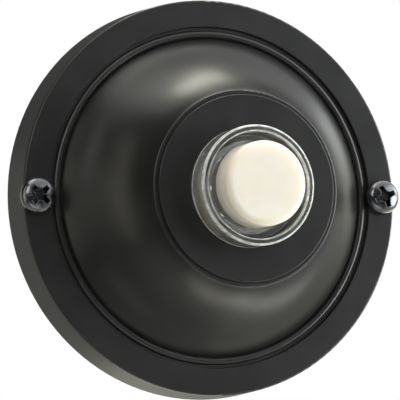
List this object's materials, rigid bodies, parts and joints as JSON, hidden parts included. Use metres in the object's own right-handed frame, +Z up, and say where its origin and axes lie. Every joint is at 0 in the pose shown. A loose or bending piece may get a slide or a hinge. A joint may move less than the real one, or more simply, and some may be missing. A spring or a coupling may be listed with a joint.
{
  "type": "doorbell push button",
  "caption": "Round surface-mounted doorbell push: black domed cover with a flat rim, clear collar, and an ivory sprung button over a lit switch.",
  "frame": {"origin": "centre of the flat face that meets the wall, midway between the two wall screws", "axes": "+Y goes into the wall, so the button faces -Y; +Z is up; +X is to the right as seen from the front"},
  "size_m": [0.0638, 0.0344, 0.0634],
  "materials": {
    "black_finish": "satin black finish on a zinc casting",
    "black_screw": "glossy black finish on steel",
    "clear_plastic": "clear polished",
    "ivory_plastic": "ivory, soft gloss",
    "contact_brass": "plain",
    "black_plastic": "moulded, matte",
    "board_laminate": "brown laminate",
    "rivet_metal": "plain",
    "lamp_glass": "clear",
    "tinned_wire": "tinned",
    "spring_steel": "plain"
  },
  "bodies": {
    "mounting": {"escutcheon": "black_finish", "wall_screw_left": "black_screw", "wall_screw_right": "black_screw", "lens_collar": "clear_plastic", "switch_body": "black_plastic", "terminal_board": "board_laminate", "board_rivet_upper": "rivet_metal", "board_rivet_lower": "rivet_metal", "terminal_screw_left": "contact_brass", "terminal_screw_right": "contact_brass", "terminal_washer_left": "contact_brass", "terminal_washer_right": "contact_brass", "fixed_contact_left": "contact_brass", "fixed_contact_right": "contact_brass", "lamp_bulb": "lamp_glass", "lamp_lead_left": "tinned_wire", "lamp_lead_right": "tinned_wire", "return_spring": "spring_steel", "retaining_clip": "spring_steel"},
    "button": {"button_cap": "ivory_plastic", "contact_ring": "contact_brass"}
  },
  "joints": [
    {"name": "button_press", "type": "slide", "parent": "mounting", "child": "button", "axis": [0, 1, 0], "range_m": [0, 0.0015], "stiffness_N_per_m": 320, "springref_m": -0.003, "deforming": ["return_spring"]}
  ]
}
